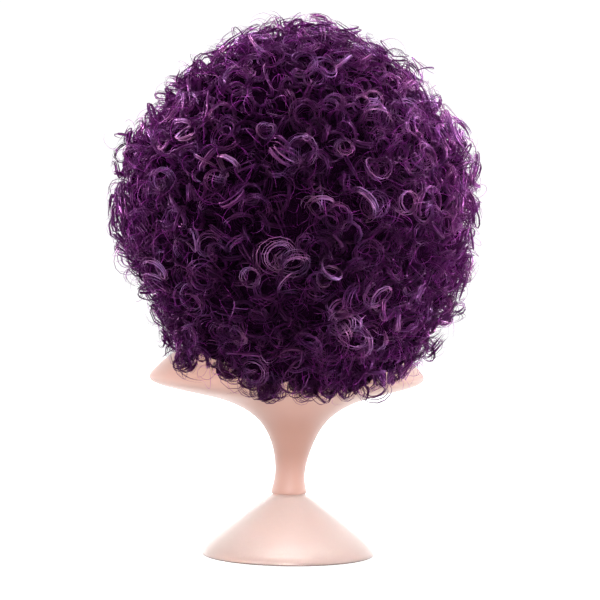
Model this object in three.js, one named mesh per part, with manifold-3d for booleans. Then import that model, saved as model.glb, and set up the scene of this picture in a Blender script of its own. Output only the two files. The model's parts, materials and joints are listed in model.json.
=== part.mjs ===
// A curly wig on a pedestal stand: a round head of tight curls sewn in rows to a
// head-shaped cap, carried by a plain post that rises from the stand's shoulders.
// Millimetres, +Z up. The origin is the centre of the base's underside, and the face side is -Y.
import * as THREE from "three";
import { mergeVertices } from "three/addons/utils/BufferGeometryUtils.js";
import Module from "manifold-3d";

const wasm = await Module();
wasm.setup();

// Driving dimensions
const SEAM_GAP = 0.3; // between pieces that touch
const BASE_RADIUS = 86;
const BASE_HEIGHT = 60;
const BASE_RIM = 6; // height of the widest point of the rounded rim
const STEM_FOOT_RADIUS = 17.5;
const SHOULDER_HALF_WIDTH = 136;
const SHOULDER_HALF_DEPTH = 60;
const SHOULDER_SWEEP = 34; // how far the shoulder tips lie forward of the middle
const NECK_RADIUS = 54;
const NECK_TOP = 262;
const POST_RADIUS = 15;
const POST_FOOT_RADIUS = 24;

const CAP_WALL = 1.6;
const CAP_CENTRE = new THREE.Vector3(0, 0, 340);
const CAP_HALF_WIDTH = 77;
const CAP_HALF_LENGTH = 95;
const CAP_RISE = 92; // from the widest level to the crown
const CAP_DROP = 140; // the same ellipsoid's lower half, which narrows slowly to the nape

const HAIR_CENTRE = new THREE.Vector3(-4, 4, 345);
const HAIR_HALF_WIDTH = 180;
const HAIR_HALF_DEPTH = 176;
const HAIR_HALF_HEIGHT = 192;
const HAIR_MASS = 0.9; // share of the full radius where the dense mass ends and loose curls begin
const HAIR_LUMP = 0.022; // depth of the swells in that mass, as a share of the radius
const ROOM_REACH = 1.3; // share of the full radius that clears the tips of the loose curls
const ROOT_GAP = 1.4; // from the cap to the faceted inside of the hair
const ROW_GAP = 0.35; // between neighbouring rows of hair, in degrees of latitude
const SHOULDER_GAP = 3; // from the stand to the hair that hangs beside it
// Half the width left open towards the face, in degrees round the head, at the cap and at the tips
const FACE_OPENING = { root: 52, tip: 38 }; // beside the face, where the hair puffs forward
const NAPE_OPENING = { root: 102, tip: 98 }; // below the ears, where hair hangs behind the neck only
const NAPE_RISE = { start: 30, end: 80 }; // degrees from the back where the nape row rises at its sides
const CURL_SPACING = 78; // between the middles of loose curls round one ring
const CURL_RADIUS = 18;
const CURL_TUBE = 6.6;

const COLUMNS = 28; // facets round the head
const degrees = THREE.MathUtils.degToRad;
const FRONT = -90; // longitude of the face, counted from +X towards +Y

// Sections of the stem and shoulders, from the seam on the base to the top of the neck.
const STAND_SECTIONS = [
  // sweep is the share of SHOULDER_SWEEP, and width and depth are half sizes
  { height: BASE_HEIGHT + SEAM_GAP, width: STEM_FOOT_RADIUS, depth: STEM_FOOT_RADIUS, sweep: 0 },
  { height: 65, width: 17.2, depth: 17.2, sweep: 0 },
  { height: 71, width: 15.4, depth: 15.4, sweep: 0 },
  { height: 80, width: 14.7, depth: 14.7, sweep: 0 },
  { height: 92, width: 15.4, depth: 15.4, sweep: 0 },
  { height: 106, width: 18.6, depth: 18.6, sweep: 0 },
  { height: 118, width: 23, depth: 22.5, sweep: 0 },
  { height: 128, width: 29.5, depth: 27, sweep: 0.02 },
  { height: 138, width: 40, depth: 33, sweep: 0.06 },
  { height: 147, width: 54, depth: 40, sweep: 0.14 },
  { height: 156, width: 76, depth: 47, sweep: 0.3 },
  { height: 164, width: 103, depth: 54, sweep: 0.6 },
  { height: 171, width: 125, depth: 58, sweep: 0.88 },
  { height: 177, width: SHOULDER_HALF_WIDTH, depth: SHOULDER_HALF_DEPTH, sweep: 1 },
  { height: 184, width: 135, depth: SHOULDER_HALF_DEPTH, sweep: 1 },
  { height: 194, width: 126, depth: 59, sweep: 0.9 },
  { height: 206, width: 110, depth: 58, sweep: 0.66 },
  { height: 220, width: 86, depth: 56, sweep: 0.36 },
  { height: 234, width: 64, depth: 55, sweep: 0.1 },
  { height: 248, width: 56, depth: NECK_RADIUS, sweep: 0 },
  { height: NECK_TOP, width: NECK_RADIUS, depth: NECK_RADIUS, sweep: 0 },
];

// Height of the cap's rim, from the forehead over the ear tabs to the nape.
const CAP_RIM = [
  { fromFront: 0, height: 396 },
  { fromFront: 36, height: 386 },
  { fromFront: 60, height: 330 },
  { fromFront: 74, height: 304 },
  { fromFront: 96, height: 312 },
  { fromFront: 120, height: 276 },
  { fromFront: 148, height: 250 },
  { fromFront: 180, height: 246 },
];

// Rows of curls, from the crown down. Each latitude is where the row ends below, in degrees seen
// from the middle of the hair: the roots on the cap, and the tips, which droop under their weight.
// curls lists the latitudes at which rings of loose curls stand out of the row, open is the part left
// open towards the face, and sides is the end of the row where it rises over the shoulders.
const HAIR_ROWS = [
  { name: "hair_crown", root: 66, tip: 60, curls: [90, 73] },
  { name: "hair_upper", root: 44, tip: 32, curls: [53, 39] },
  { name: "hair_fringe", root: 27, tip: 4, curls: [25, 11] },
  { name: "hair_middle", root: 2, tip: -22, curls: [-3, -15], open: FACE_OPENING },
  { name: "hair_lower", root: -22, tip: -46, curls: [-29, -40], open: FACE_OPENING },
  { name: "hair_nape", root: -54, tip: -80, curls: [-54, -69], open: NAPE_OPENING, sides: -52 },
];

// Geometry helpers

function lerp(a, b, share) {
  return a + (b - a) * share;
}

// A smooth reading of a table: the value of column at position along key.
function readTable(table, key, column, position) {
  const above = table.findIndex((row) => row[key] >= position);
  if (above === 0) return table[0][column];
  if (above < 0) return table[table.length - 1][column];
  const low = table[above - 1];
  const high = table[above];
  const share = THREE.MathUtils.smoothstep(position, low[key], high[key]);
  return lerp(low[column], high[column], share);
}

// A repeatable value from 0 to 1 for whole number n, so that no two curls are alike.
function vary(n) {
  const wave = Math.sin(n * 12.9898 + 4.1414) * 43758.5453;
  return wave - Math.floor(wave);
}

// The geometry with shared vertices merged and triangles that closed up at a pole dropped.
function tidy(geometry) {
  geometry.deleteAttribute("normal");
  geometry.deleteAttribute("uv");
  const merged = mergeVertices(geometry, 1e-3);
  const kept = [];
  const corners = merged.index.array;
  for (let i = 0; i < corners.length; i += 3) {
    const [a, b, c] = corners.subarray(i, i + 3);
    if (a !== b && b !== c && c !== a) kept.push(a, b, c);
  }
  return merged.setIndex(kept);
}

// Triangles that fill a flat outline, wound the way the outline runs.
function endFaces(outline) {
  const faces = THREE.ShapeUtils.triangulateShape(outline, []);
  return THREE.ShapeUtils.isClockWise(outline) ? faces.map(([a, b, c]) => [a, c, b]) : faces;
}

// The skin through a row of closed loops with the same number of points. A round skin joins the last
// loop to the first, and otherwise each end is closed flat, with flatten giving its points on a plane.
// The strip between a loop's last and first points is split the other way, so stacked rooms fit together.
function skin(loops, { round, flatten }) {
  const size = loops[0].length;
  const index = [];
  const spans = round ? loops.length : loops.length - 1;
  for (let i = 0; i < spans; i++) {
    const here = i * size;
    const next = ((i + 1) % loops.length) * size;
    for (let j = 0; j < size; j++) {
      const k = (j + 1) % size;
      if (k > 0) index.push(here + j, next + j, next + k, here + j, next + k, here + k);
      else index.push(here + j, next + j, here + k, next + j, next + k, here + k);
    }
  }
  if (!round) {
    const last = (loops.length - 1) * size;
    const [startLoop, endLoop] = [loops[0], loops[loops.length - 1]].map((loop) => loop.map(flatten));
    endFaces(startLoop).forEach(([a, b, c]) => index.push(a, b, c));
    endFaces(endLoop).forEach(([a, b, c]) => index.push(last + a, last + c, last + b));
  }
  const geometry = new THREE.BufferGeometry().setFromPoints(loops.flat());
  return tidy(geometry.setIndex(index));
}

function toSolid(geometry) {
  return new wasm.Manifold(
    new wasm.Mesh({
      numProp: 3,
      vertProperties: new Float32Array(geometry.getAttribute("position").array),
      triVerts: new Uint32Array(geometry.index.array),
    }),
  );
}

function toGeometry(solid) {
  const mesh = solid.getMesh();
  return new THREE.BufferGeometry()
    .setAttribute("position", new THREE.BufferAttribute(mesh.vertProperties, 3))
    .setIndex(new THREE.BufferAttribute(mesh.triVerts, 1));
}

// Points of an oval at one height. The sweep bends its two ends forward.
function oval({ height, width, depth, sweep = 0 }, sides) {
  return Array.from({ length: sides }, (_, i) => {
    const turn = (2 * Math.PI * i) / sides;
    const bend = sweep * SHOULDER_SWEEP * Math.cos(turn) ** 2;
    return new THREE.Vector3(width * Math.cos(turn), depth * Math.sin(turn) - bend, height);
  });
}

const onFloorPlan = (point) => new THREE.Vector2(point.x, point.y);

// The skin through a stack of ovals, listed from the bottom up.
function stack(sections, sides) {
  const loops = sections.map((section) => oval(section, sides));
  return skin(loops.reverse(), { round: false, flatten: onFloorPlan });
}

// Stand

function standBase() {
  const foot = 3; // rounding under the rim
  const dome = new THREE.QuadraticBezierCurve(
    new THREE.Vector2(BASE_RADIUS, BASE_RIM),
    new THREE.Vector2(0.7 * BASE_RADIUS, 0.63 * BASE_HEIGHT),
    new THREE.Vector2(STEM_FOOT_RADIUS - 0.5, BASE_HEIGHT),
  );
  const profile = [
    new THREE.Vector2(0, 0),
    new THREE.Vector2(BASE_RADIUS - foot, 0),
    new THREE.Vector2(BASE_RADIUS - 0.25 * foot, 0.5 * foot),
    ...dome.getPoints(7),
    new THREE.Vector2(0, BASE_HEIGHT),
  ];
  return tidy(new THREE.LatheGeometry(profile, 32)).rotateX(Math.PI / 2);
}

function standBust(grown = 0) {
  const sections = STAND_SECTIONS.map((section) => ({
    ...section,
    width: section.width + grown,
    depth: section.depth + grown,
  }));
  return stack(sections, 24);
}

// The post's top is a low dome that follows the inside of the cap's crown.
function standPost() {
  const round = (height, radius) => ({ height, width: radius, depth: radius });
  const inset = CAP_WALL + 2.2;
  const dome = [60, 70, 80, 87].map((latitude) => ({
    height: CAP_CENTRE.z + (CAP_RISE - inset) * Math.sin(degrees(latitude)),
    width: (CAP_HALF_WIDTH - inset) * Math.cos(degrees(latitude)),
    depth: (CAP_HALF_LENGTH - inset) * Math.cos(degrees(latitude)),
  }));
  const foot = NECK_TOP + SEAM_GAP;
  const sections = [
    round(foot, POST_FOOT_RADIUS),
    round(foot + 5, POST_FOOT_RADIUS),
    round(foot + 12, POST_RADIUS),
    round(dome[0].height - 24, POST_RADIUS),
    { height: dome[0].height - 10, width: 25, depth: 28 },
    { height: dome[0].height - 3, width: 0.94 * dome[0].width, depth: 0.94 * dome[0].depth },
    ...dome,
    round(CAP_CENTRE.z + CAP_RISE - CAP_WALL - SEAM_GAP, 0.5),
  ];
  return stack(sections, 20);
}

// Cap

// A point of the cap's ellipsoid, grown by an offset, at a longitude and latitude of its own.
function capPoint(longitude, latitude, offset) {
  const rise = latitude > 0 ? CAP_RISE : CAP_DROP;
  const level = Math.cos(latitude);
  return new THREE.Vector3(
    (CAP_HALF_WIDTH + offset) * level * Math.cos(longitude),
    (CAP_HALF_LENGTH + offset) * level * Math.sin(longitude),
    (rise + offset) * Math.sin(latitude),
  ).add(CAP_CENTRE);
}

function wigCap() {
  const steps = 6;
  const loops = Array.from({ length: COLUMNS }, (_, i) => {
    const longitude = (2 * Math.PI * i) / COLUMNS;
    const turned = Math.abs(THREE.MathUtils.euclideanModulo((i * 360) / COLUMNS - FRONT, 360));
    const rim = readTable(CAP_RIM, "fromFront", "height", Math.min(turned, 360 - turned));
    const drop = rim - CAP_CENTRE.z;
    const low = Math.asin(drop / (drop > 0 ? CAP_RISE : CAP_DROP));
    const rows = Array.from({ length: steps + 1 }, (_, j) => lerp(low, Math.PI / 2, j / steps));
    const outside = rows.map((latitude) => capPoint(longitude, latitude, 0));
    const inside = rows.map((latitude) => capPoint(longitude, latitude, -CAP_WALL));
    return [...outside, ...inside.reverse()];
  });
  return skin(loops, { round: true });
}

// Hair

function direction(longitude, latitude) {
  const [turn, lift] = [degrees(longitude), degrees(latitude)];
  return new THREE.Vector3(
    Math.cos(lift) * Math.cos(turn),
    Math.cos(lift) * Math.sin(turn),
    Math.sin(lift),
  );
}

// Distance from the hair's middle to its outline, before any swell.
function outlineRadius(way) {
  const half = new THREE.Vector3(HAIR_HALF_WIDTH, HAIR_HALF_DEPTH, HAIR_HALF_HEIGHT);
  return 1 / way.clone().divide(half).length();
}

// Distance from the hair's middle to the cap, where the hair is rooted.
function rootRadius(way) {
  const rise = way.z > 0 ? CAP_RISE : CAP_DROP;
  const half = new THREE.Vector3(CAP_HALF_WIDTH, CAP_HALF_LENGTH, rise).addScalar(ROOT_GAP);
  const [from, along] = [HAIR_CENTRE.clone().sub(CAP_CENTRE).divide(half), way.clone().divide(half)];
  const [a, b, c] = [along.lengthSq(), from.dot(along), from.lengthSq() - 1];
  return (Math.sqrt(b * b - a * c) - b) / a;
}

function swell(longitude, latitude) {
  const round = Math.sin(degrees(7 * longitude + 3 * latitude));
  const down = Math.sin(degrees(8 * latitude - 2 * longitude));
  return 1 + HAIR_LUMP * round * down * Math.cos(degrees(latitude));
}

function rootPoint(longitude, latitude) {
  const way = direction(longitude, latitude);
  return way.clone().multiplyScalar(rootRadius(way)).add(HAIR_CENTRE);
}

function tipPoint(longitude, latitude, share) {
  const way = direction(longitude, latitude);
  const radius = outlineRadius(way) * share * swell(longitude, latitude);
  return way.multiplyScalar(radius).add(HAIR_CENTRE);
}

// The lowest latitude of a row at one place round the head, counted from the back.
function lowEdge(row, which, fromBack) {
  if (row.sides === undefined) return row[which];
  const share = THREE.MathUtils.smoothstep(Math.abs(fromBack), NAPE_RISE.start, NAPE_RISE.end);
  return lerp(row[which], row.sides, share);
}

// The room in front of a row that is left open towards the face.
function openRoom({ root, tip }) {
  const [near, far] = [60, 260]; // inside the cap, and outside the hair
  const at = (angle, radius) => [radius * Math.sin(degrees(angle)), -radius * Math.cos(degrees(angle))];
  const [nearX, nearY] = at(root, near);
  const [farX, farY] = at(tip, far);
  const right = [[nearX, nearY], [farX, farY], [farX, -2 * far]].map(([x, y]) => new THREE.Vector2(x, y));
  const left = right.map((point) => new THREE.Vector2(-point.x, point.y)).reverse();
  const plan = new THREE.Shape([...right, ...left]);
  return toSolid(tidy(new THREE.ExtrudeGeometry(plan, { depth: 3 * far, bevelEnabled: false })));
}

// The dense mass of all the rows together, as if it had no head inside.
function hairMass() {
  const steps = 14;
  const loops = Array.from({ length: COLUMNS }, (_, i) =>
    Array.from({ length: steps + 1 }, (_, j) =>
      tipPoint((360 * i) / COLUMNS, lerp(-90, 90, j / steps), HAIR_MASS),
    ),
  );
  return toSolid(skin(loops, { round: true }));
}

// The room of one row of hair, from the cap out past the tips of its curls.
function rowRoom(row, above) {
  const loops = Array.from({ length: COLUMNS }, (_, i) => {
    const fromBack = (360 * i) / COLUMNS - 180;
    const longitude = fromBack - FRONT;
    const rootTop = above ? above.root - ROW_GAP : 90;
    const tipTop = above ? above.tip - ROW_GAP : 90;
    const rootLow = lowEdge(row, "root", fromBack);
    const tipLow = lowEdge(row, "tip", fromBack);
    const inside = [0, 0.5, 1].map((s) => rootPoint(longitude, lerp(rootTop, rootLow, s)));
    const outside = [0, 1 / 3, 2 / 3, 1].map((s) =>
      tipPoint(longitude, lerp(tipLow, tipTop, s), ROOM_REACH),
    );
    return [...inside, ...outside];
  });
  const room = toSolid(skin(loops, { round: true }));
  return row.open ? room.subtract(openRoom(row.open)) : room;
}

// One loose curl: a ring that stands part way out of the mass, leaning its own way.
function curl(longitude, latitude, seed) {
  const radius = CURL_RADIUS * lerp(0.85, 1.2, vary(seed));
  const ring = new THREE.TorusGeometry(radius, CURL_TUBE * lerp(0.9, 1.15, vary(seed + 1)), 3, 6);
  const way = direction(longitude, latitude);
  const side = new THREE.Vector3(vary(seed + 2) - 0.5, vary(seed + 3) - 0.5, vary(seed + 4) - 0.5);
  const axis = side.projectOnPlane(way).normalize().addScaledVector(way, lerp(0.1, 1.1, vary(seed + 5)));
  const turn = new THREE.Quaternion().setFromUnitVectors(new THREE.Vector3(0, 0, 1), axis.normalize());
  const height = outlineRadius(way) - CURL_TUBE - radius * lerp(0.45, 0.95, vary(seed + 6));
  const place = way.clone().multiplyScalar(height).add(HAIR_CENTRE);
  const matrix = new THREE.Matrix4().compose(place, turn, new THREE.Vector3(1, 1, 1));
  return toSolid(tidy(ring).applyMatrix4(matrix));
}

// All the loose curls of a row, spaced evenly round each of its rings.
function curls(row, first) {
  const tip = row.open ? 180 - row.open.tip : 180;
  const made = [];
  row.curls.forEach((latitude, ring) => {
    const way = direction(0, latitude);
    const length = degrees(2 * tip) * outlineRadius(way) * Math.cos(degrees(latitude));
    const count = Math.max(1, Math.round(length / CURL_SPACING));
    for (let i = 0; i < count; i++) {
      const turn = tip * ((2 * (i + 0.5 * (ring % 2) + 0.25)) / count - 1);
      made.push(curl(-FRONT + turn, latitude, first + 100 * ring + 7 * i));
    }
  });
  return made.reduce((all, one) => all.add(one));
}

function hairSolid(row, i) {
  const hair = hairMass().add(curls(row, 1000 * i)).intersect(rowRoom(row, HAIR_ROWS[i - 1]));
  const bodies = hair.subtract(toSolid(standBust(SHOULDER_GAP))).decompose();
  return toGeometry(bodies.sort((a, b) => b.volume() - a.volume())[0]);
}

// Assembly

const skinPlastic = new THREE.MeshStandardMaterial({ color: 0xe8c6b8, roughness: 0.42, metalness: 0 });
const capNet = new THREE.MeshStandardMaterial({ color: 0x1c0f20, roughness: 0.85, metalness: 0 });
const purpleHair = new THREE.MeshStandardMaterial({ color: 0x46184a, roughness: 0.45, metalness: 0 });

function piece(name, geometry, material) {
  const mesh = new THREE.Mesh(geometry, material);
  mesh.name = name;
  return mesh;
}

const stand = new THREE.Group();
stand.add(piece("stand_base", standBase(), skinPlastic));
stand.add(piece("stand_bust", standBust(), skinPlastic));
stand.add(piece("stand_post", standPost(), skinPlastic));

const wig = new THREE.Group();
wig.add(piece("wig_cap", wigCap(), capNet));
HAIR_ROWS.forEach((row, i) => wig.add(piece(row.name, hairSolid(row, i), purpleHair)));

const wigOnStand = new THREE.Group();
wigOnStand.add(stand, wig);
export default wigOnStand;
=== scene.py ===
"""The looks of a curly wig on a pedestal stand, laid out as a Blender add-on and run as a script.

Every piece is made in metres in the frame's own place: +Z is up, the wig's face opening is at -Y,
and the origin is the centre of the base's underside.
"""

import json
import math
from collections import namedtuple
from functools import partial

import bmesh
import bpy
import numpy as np
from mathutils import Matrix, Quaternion, Vector
from mathutils.geometry import interpolate_bezier

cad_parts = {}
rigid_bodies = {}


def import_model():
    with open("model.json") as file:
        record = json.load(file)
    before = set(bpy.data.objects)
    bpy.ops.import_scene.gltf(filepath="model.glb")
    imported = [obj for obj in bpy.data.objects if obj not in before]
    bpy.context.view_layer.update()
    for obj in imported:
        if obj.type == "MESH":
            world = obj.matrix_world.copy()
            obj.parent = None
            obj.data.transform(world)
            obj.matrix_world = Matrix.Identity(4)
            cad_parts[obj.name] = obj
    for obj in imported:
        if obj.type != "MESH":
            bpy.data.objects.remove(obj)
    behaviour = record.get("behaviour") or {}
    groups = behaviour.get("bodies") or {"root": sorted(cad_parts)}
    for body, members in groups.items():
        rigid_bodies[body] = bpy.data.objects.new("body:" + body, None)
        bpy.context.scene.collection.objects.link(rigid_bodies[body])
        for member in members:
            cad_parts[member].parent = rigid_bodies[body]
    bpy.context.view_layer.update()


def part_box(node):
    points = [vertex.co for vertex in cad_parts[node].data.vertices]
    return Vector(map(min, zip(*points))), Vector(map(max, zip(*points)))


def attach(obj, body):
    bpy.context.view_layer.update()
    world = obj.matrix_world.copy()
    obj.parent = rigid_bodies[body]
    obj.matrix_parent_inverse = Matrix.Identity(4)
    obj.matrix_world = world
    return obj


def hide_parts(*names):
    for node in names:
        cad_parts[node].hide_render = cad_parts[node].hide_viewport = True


bl_info = {
    "name": "Curly wig on a stand",
    "version": (1, 0, 0),
    "blender": (4, 5, 0),
    "location": "View3D > Sidebar > Wig",
    "description": "Dresses the frame of a wig and its stand with curls, net and moulded plastic",
    "category": "Add Mesh",
}

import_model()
BASE_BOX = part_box("stand_base")
POST_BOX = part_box("stand_post")
CAP_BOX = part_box("wig_cap")
BODY = "root"
MM = 0.001
BAKE_MAP = "OFBake"
UP = np.array((0.0, 0.0, 1.0))
LEVEL = np.array((1.0, 1.0, 0.0))
WHITE = (1.0, 1.0, 1.0, 1.0)

# A Mix node's two colours among its inputs, and its colour among its outputs.
MIX_FIRST, MIX_SECOND, MIX_RESULT = 6, 7, 2

# The cap: the height of its widest level, its half width there and its depth below that level.
CAP_LEVEL = 340 * MM
CAP_HALF_WIDTH = 77 * MM
CAP_DROP = 140 * MM

# A row's mass: its columns all the way round, the degrees between rows and the tuck of the nape.
MASS_COLUMNS = 72
ROW_GAP = 0.3
NAPE_TUCK = 0.03

# The least reach that a point is divided by when it is moved out of the cap or the stand.
LEAST_REACH = 0.05

# Parts of a row's mass that curls can grow from: underneath, outside and at its two ends. Part 0
# lies against the cap, and part 3 against the row above.
UNDERNEATH, OUTSIDE, AT_END = 1, 2, 4

# Kinds of curls: coils that lie on the mass, coils seen end on, and loose loops. share is how many
# of the curls are of a kind, broad is the share of their locks that are broad, and loose is how far
# their fibres stray from each other. END_ON and LOOSE are places in the table.
END_ON, LOOSE = 1, 2
Kind = namedtuple("Kind", "share fewest_turns more_turns broad loose")
CURL_KINDS = (
    Kind(0.4, 1.5, 0.6, 0.56, 0.07),
    Kind(0.48, 1.25, 0.5, 0.42, 0.16),
    Kind(0.12, 1.0, 0.4, 0.1, 0.16),
)

# How deep curls root in the mass, the least and most room over it, and the range of their tints.
ROOT_DEPTH = 4 * MM
CURL_ROOM = (14 * MM, 34 * MM)
TINT_RANGE = (0.05, 0.95)

# How far a fibre may be pushed aside, how far past the outline it may stand, and its lowest place.
FARTHEST_SHIFT = 5 * MM
FARTHEST_STRAY = 11 * MM
LOWEST_CURL = 152 * MM

# Points along a fibre of a ringlet and along a fine hair, and the lane in V of one streak.
CURL_STEPS = 18
FRIZZ_STEPS = 10
STREAK_LANE = 0.009

# The parting in the nape. Among the fibres it is a wedge: its place across, its top, its depth, its
# half width and the share of fibres left out. In the lower edge it is a notch in degrees: its place
# round, its lift and its half width.
NAPE_PARTING = -7 * MM
PARTING_TOP = 196 * MM
PARTING_DEPTH = 40 * MM
PARTING_WIDTH = 5 * MM
PARTING_SHARE = 0.8
PARTING_TURN = -13.5
PARTING_LIFT = 11.0
PARTING_SPREAD = 5.0

# Ringlets along the nape's lower edge. The first of them hang on the left shoulder, at a place that
# lies across, behind and up from the middle of the hair.
EDGE_RINGLETS = 84
SHOULDER_RINGLETS = 14
SHOULDER_PLACE = (-100 * MM, 62 * MM, -155 * MM)

# The table's half size, how far it lies below the base, and the width that the camera sees.
TABLE_HALF = 6.0
TABLE_DROP = 0.3 * MM
VIEW_WIDTH = 0.6

# Sections of the stem and shoulders in millimetres, from the seam on the base to the neck's top.
# width and depth are halves, aside is how far the middle lies to the right, seen from behind, and
# sweep is the share of the forward bend that the two ends take.
Section = namedtuple("Section", "height width depth aside sweep", defaults=(0, 0))
STAND_SECTIONS = (
    Section(60.3, 16.4, 16.4),
    Section(60.6, 17.3, 17.3),
    Section(62, 17.8, 17.8),
    Section(65, 17.4, 17.4),
    Section(71, 15.6, 15.6, 0.2, 0),
    Section(81, 14.6, 14.6, 0.8, 0),
    Section(92, 15.8, 15.8, 1.8, 0),
    Section(106, 19, 18.8, 2.8, 0),
    Section(118, 23.8, 22.5, 3.4, 0),
    Section(129, 30, 27, 3.6, 0.02),
    Section(138, 38.5, 33, 3.8, 0.06),
    Section(146, 51, 40, 4, 0.14),
    Section(151, 62.5, 44, 4, 0.22),
    Section(155, 75, 47, 4, 0.3),
    Section(158, 90, 51, 4, 0.44),
    Section(162, 110, 54, 4, 0.62),
    Section(166, 129, 57, 3.8, 0.86),
    Section(170, 139, 59, 3.6, 0.98),
    Section(174.5, 142.5, 60, 3.4, 1),
    Section(179, 141, 60, 3.2, 1),
    Section(188, 132, 59.5, 3, 0.94),
    Section(198, 121, 59, 2.5, 0.82),
    Section(208, 105, 58, 2, 0.62),
    Section(220, 84, 56, 1, 0.34),
    Section(234, 64, 55, 0.4, 0.1),
    Section(248, 56, 54),
    Section(259, 54, 54),
    Section(261.4, 53.4, 53.4),
    Section(262, 51, 51),
)
SHOULDER_SWEEP = 34 * MM

# Height of the cap's rim in millimetres, from the forehead over the ear tabs to the nape.
RimPoint = namedtuple("RimPoint", "from_front height")
CAP_RIM = (
    RimPoint(0, 396),
    RimPoint(36, 386),
    RimPoint(60, 330),
    RimPoint(74, 304),
    RimPoint(96, 312),
    RimPoint(120, 276),
    RimPoint(148, 250),
    RimPoint(180, 246),
)

# Rows of curls from the crown down. root and tip are the latitudes, in degrees seen from the middle
# of the hair, where a row ends below on the cap and at its curls. root_reach and tip_reach are how
# far the row goes round from the back, and sides is where its lower end rises over the shoulders.
Row = namedtuple("Row", "name root tip root_reach tip_reach sides", defaults=(None,))
HAIR_ROWS = (
    Row("hair_crown", 66, 60, 180, 180),
    Row("hair_upper", 44, 32, 180, 180),
    Row("hair_fringe", 27, 4, 180, 180),
    Row("hair_middle", 2, -22, 128, 142),
    Row("hair_lower", -22, -49, 128, 142),
    Row("hair_nape", -54, -79, 78, 82, -54),
)

# Places where the outline swells or sinks, seen from behind. across and up lead from the middle of
# the hair to the place, rise is how far it stands out in millimetres, and spread is its half width
# in degrees.
Tuft = namedtuple("Tuft", "across up rise spread")
TUFTS = (
    Tuft(-179, 59, 25, 7),
    Tuft(-176, 26, -12, 7),
    Tuft(-176, 5, 6, 14),
    Tuft(-178, -31, 6, 8),
    Tuft(180, 59, 16, 14),
    Tuft(182, 26, -6, 6),
    Tuft(150, 105, -6, 10),
    Tuft(118, 150, 15, 11),
    Tuft(-90, 165, -3, 10),
    Tuft(-160, -110, -24, 17),
    Tuft(-140, -133, -8, 6),
    Tuft(-114, -155, 24, 9),
    Tuft(-72, -172, -8, 10),
    Tuft(143, -145, -10, 7),
    Tuft(118, -170, 13, 14),
    Tuft(-7, -172, -14, 5),
    Tuft(10, -192, 14, 26),
)

# Lamps in metres, seen from the camera: how far each one hangs to the right of the stand, towards
# the camera and above the table, the height it points at, its width and depth, its beam's angle and
# its power. only is how the names of the pieces that it lights start, or empty for all of them.
Lamp = namedtuple("Lamp", "name side front height aim width depth spread power only")
LAMPS = (
    Lamp("side left", -1.3, -0.25, 0.55, 0.42, 0.3, 0.3, 36, 2.4, "hair"),
    Lamp("side right", 1.3, -0.15, 0.45, 0.38, 0.4, 0.3, 32, 2.6, "hair"),
    Lamp("above", 0.0, -0.15, 1.6, 0.33, 0.5, 0.5, 180, 35.0, ""),
    Lamp("front", 0.0, 1.1, 1.9, 0.2, 1.8, 0.5, 180, 15.0, ""),
    Lamp("low front", 0.1, 1.7, 0.3, 0.2, 0.8, 0.8, 180, 6.2, ""),
    Lamp("low right", 1.2, 0.4, 0.12, 0.28, 0.5, 0.5, 36, 1.4, "hair"),
    Lamp("stand left", -1.3, -0.3, 0.3, 0.12, 0.6, 0.6, 180, 5.0, "stand_bust"),
    Lamp("stand right", 1.3, -0.3, 0.3, 0.12, 0.6, 0.6, 180, 6.5, "stand_bust"),
    Lamp("over shoulders", 0.1, 1.2, 0.9, 0.12, 0.6, 0.3, 40, 1.2, "stand_bust"),
    Lamp("base front", 0.05, 1.5, 0.15, 0.0, 0.3, 0.2, 16, 0.13, "stand_base"),
    Lamp("over base", 0.05, 0.23, 1.6, 0.0, 2.4, 0.4, 180, 18.8, "stand_base"),
    Lamp("base left", -1.0, 1.0, 0.15, 0.01, 0.6, 0.6, 180, 5.2, "stand_base"),
    Lamp("base right", 1.3, 0.3, 0.2, 0.02, 0.6, 0.6, 180, 4.2, "stand_base"),
)


# Settings


Length = partial(bpy.props.FloatProperty, unit="LENGTH")
Angle = partial(bpy.props.FloatProperty, subtype="ANGLE")
Colour = partial(bpy.props.FloatVectorProperty, size=3, min=0.0, max=1.0, subtype="COLOR")


class StandSettings(bpy.types.PropertyGroup):
    """Sizes and colours of the pedestal stand"""

    rim_height: Length(
        name="Rim height",
        description="Height of the widest line of the base above the table",
        default=2.6 * MM,
    )
    # The base's two colours are paler than the stem's plastic, as painted light on the up-facing
    # base.
    lit_base_plastic: Colour(
        name="Lit base plastic",
        description="Main colour of the base's paler moulding",
        default=(0.575, 0.42, 0.375),
    )
    lit_base_blush: Colour(
        name="Lit base blush",
        description="Slightly deeper colour that clouds the base",
        default=(0.545, 0.39, 0.34),
    )
    plastic: Colour(
        name="Plastic",
        description="Main colour of the stem, the shoulders and the neck",
        default=(0.56, 0.325, 0.272),
    )
    blush: Colour(
        name="Blush",
        description="Slightly deeper colour that clouds the plastic",
        default=(0.515, 0.29, 0.236),
    )
    roughness: bpy.props.FloatProperty(
        name="Roughness",
        description="Roughness of the stem's satin surface",
        default=0.47,
        min=0.0,
        max=1.0,
        subtype="FACTOR",
    )


class CapSettings(bpy.types.PropertyGroup):
    """Sizes and colours of the net cap"""

    wall: Length(
        name="Wall",
        description="Thickness of the net with its sewn tapes",
        default=1.6 * MM,
    )
    net: Colour(
        name="Net",
        description="Colour of the stretch net",
        default=(0.016, 0.008, 0.020),
    )
    tape: Colour(
        name="Tape",
        description="Colour of the tapes that the hair is sewn to",
        default=(0.045, 0.016, 0.055),
    )


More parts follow.
